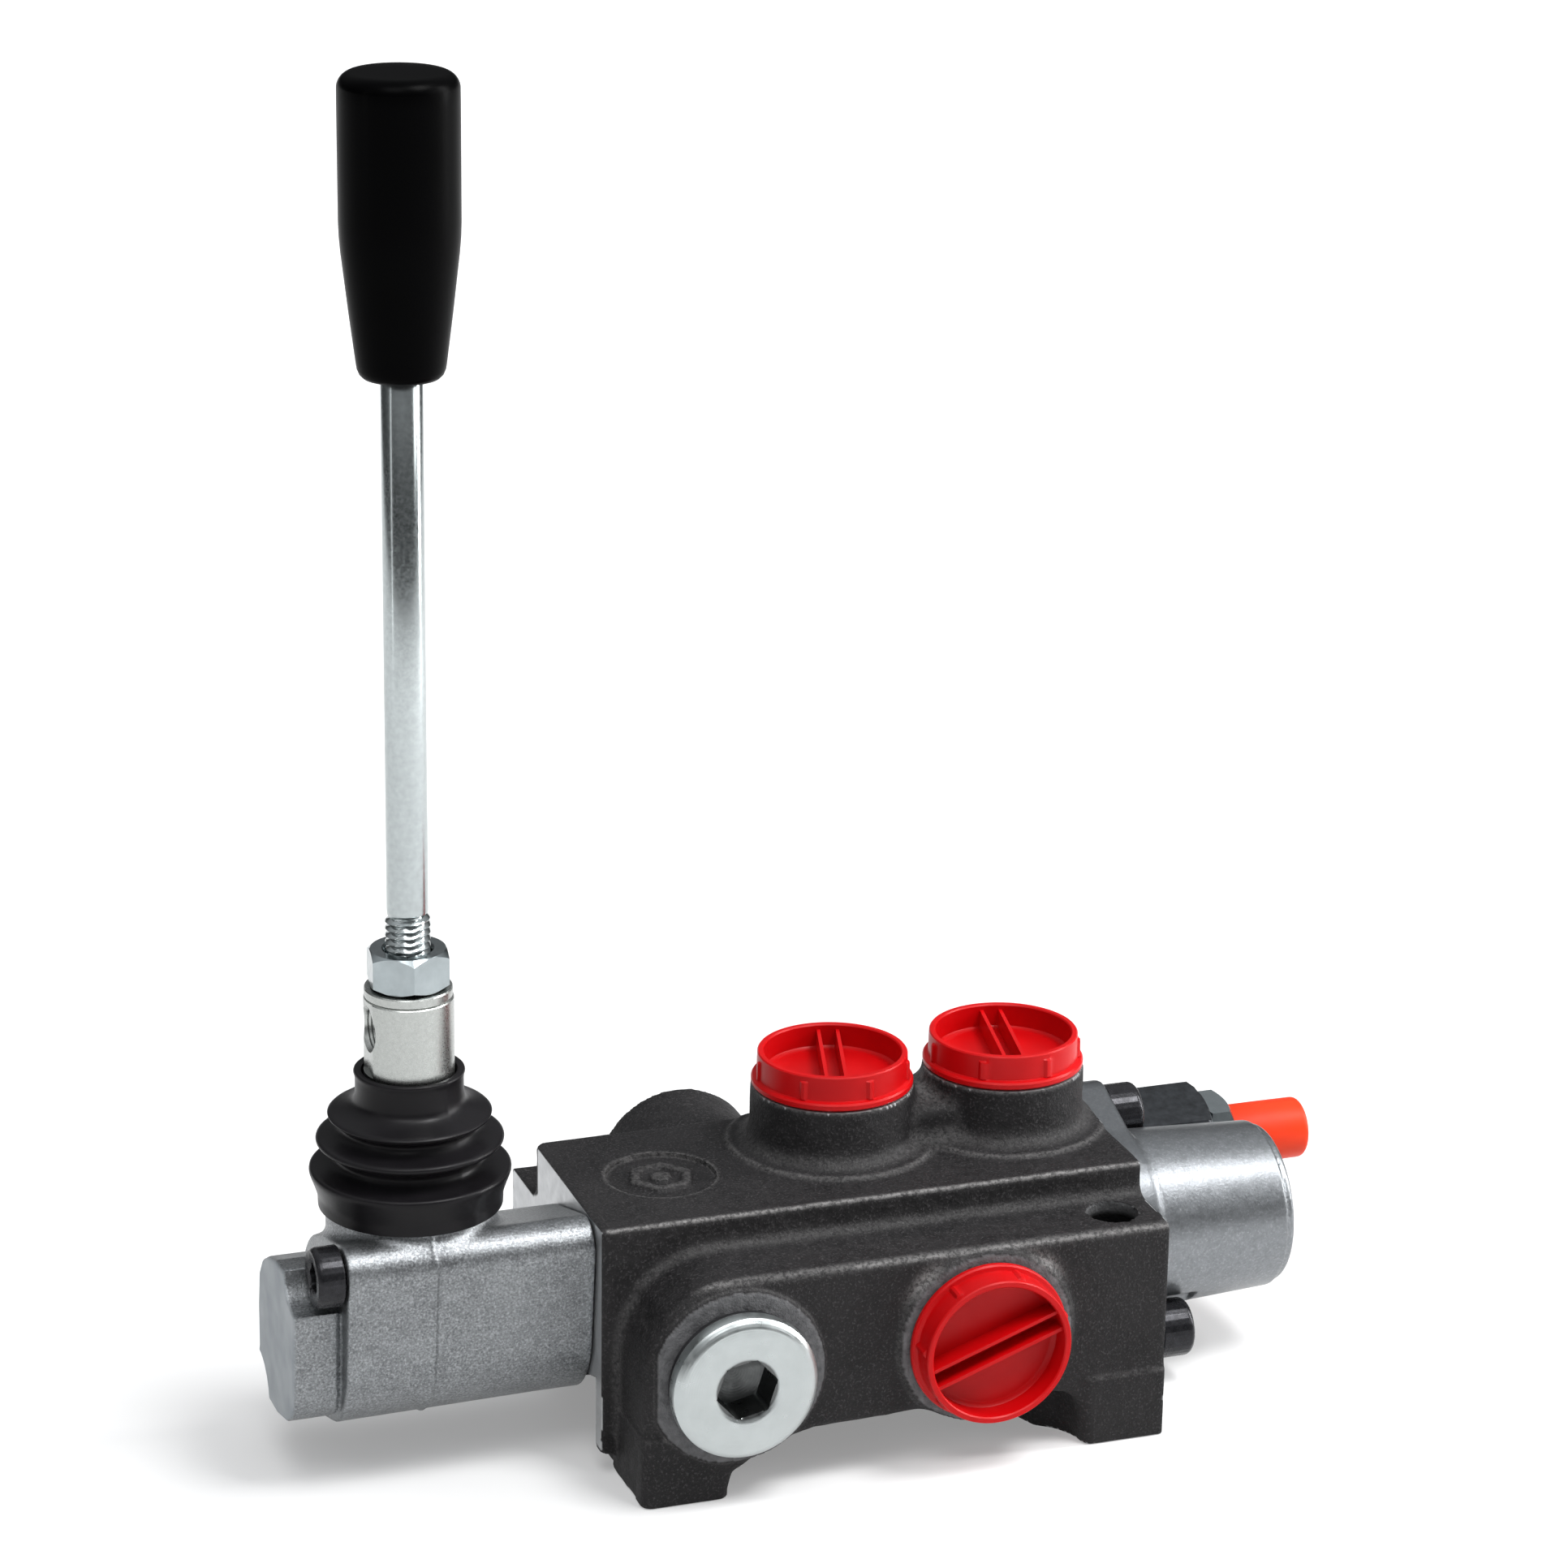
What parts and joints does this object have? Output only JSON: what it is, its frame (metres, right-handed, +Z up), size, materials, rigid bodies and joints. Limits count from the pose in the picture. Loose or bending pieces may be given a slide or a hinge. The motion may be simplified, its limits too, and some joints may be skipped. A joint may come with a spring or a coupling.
{
  "type": "hydraulic monoblock valve",
  "caption": "Lever-operated hydraulic directional valve in a single casting, with a sliding spool, rubber boot, spring cap, relief valve, load check and plugged ports.",
  "frame": {"origin": "centre of the bounding box in plan, at the underside of the casting's feet", "axes": "+X along the spool from the lever end to the spring cap, +Y from the tank port to the inlet port, +Z up the lever"},
  "size_m": [0.2534, 0.104, 0.2987],
  "materials": {
    "cast": "matt dark paint on a rough casting, machined faces left bright",
    "aluminium": "as-cast, tumbled",
    "zinc": "bright zinc plate",
    "dark_zinc": "turned steel, satin",
    "steel": "ground",
    "black_oxide": "black oxide, oiled",
    "rubber": "satin moulded rubber",
    "seal": "smooth seal rubber",
    "knob": "polished moulding",
    "red": "moulded, slightly clear",
    "orange": "soft moulded"
  },
  "bodies": {
    "root_body": {"valve_body": "cast", "lever_box": "aluminium", "lever_box_screw_front": "black_oxide", "lever_box_screw_rear": "black_oxide", "spring_cap": "aluminium", "spring_cap_screw_upper": "black_oxide", "spring_cap_screw_lower": "black_oxide", "lever_boot": "rubber", "lever_pivot_pin": "steel", "spool_seal_left": "seal", "spool_seal_right": "seal", "spring_seat_outer": "steel", "centering_spring": "steel", "carry_over_plug": "zinc", "carry_over_seal": "seal", "port_cap_a": "red", "port_cap_b": "red", "port_cap_tank": "red", "port_cap_inlet": "red", "relief_sleeve": "dark_zinc", "relief_seal_ring": "seal", "relief_adjusting_screw": "steel", "relief_lock_nut": "zinc", "relief_cap": "orange", "relief_spring": "steel", "check_plug": "black_oxide", "check_spring": "steel"},
    "lever_body": {"lever_hub": "zinc", "lever_lock_nut": "zinc", "lever_rod": "zinc", "lever_knob": "knob"},
    "spool_body": {"spool": "steel", "spring_seat_inner": "steel", "spool_tail_bolt": "black_oxide"},
    "relief_poppet_body": {"relief_poppet": "steel"},
    "check_poppet_body": {"check_poppet": "steel"}
  },
  "joints": [
    {"name": "lever_tilt", "type": "hinge", "parent": "root_body", "child": "lever_body", "pos_m": [-0.0969, -0.00165, 0.0587], "axis": [0, 1, 0], "range_deg": [-14.5, 14.5], "stiffness_Nm_per_rad": 3, "deforming": ["lever_boot", "centering_spring"]},
    {"name": "spool_shift", "type": "slide", "parent": "root_body", "child": "spool_body", "axis": [1, 0, 0], "range_m": [-0.0068, 0.0068], "deforming": ["centering_spring"]},
    {"name": "relief_lift", "type": "slide", "parent": "root_body", "child": "relief_poppet_body", "axis": [1, 0, 0], "range_m": [0, 0.003], "stiffness_N_per_m": 20000, "deforming": ["relief_spring"]},
    {"name": "check_lift", "type": "slide", "parent": "root_body", "child": "check_poppet_body", "axis": [0, 0, -1], "range_m": [0, 0.003], "stiffness_N_per_m": 600, "deforming": ["check_spring"]}
  ],
  "couplings": [
    {"joint": "spool_shift", "follows": "lever_tilt", "m_per_rad": -0.0267}
  ]
}
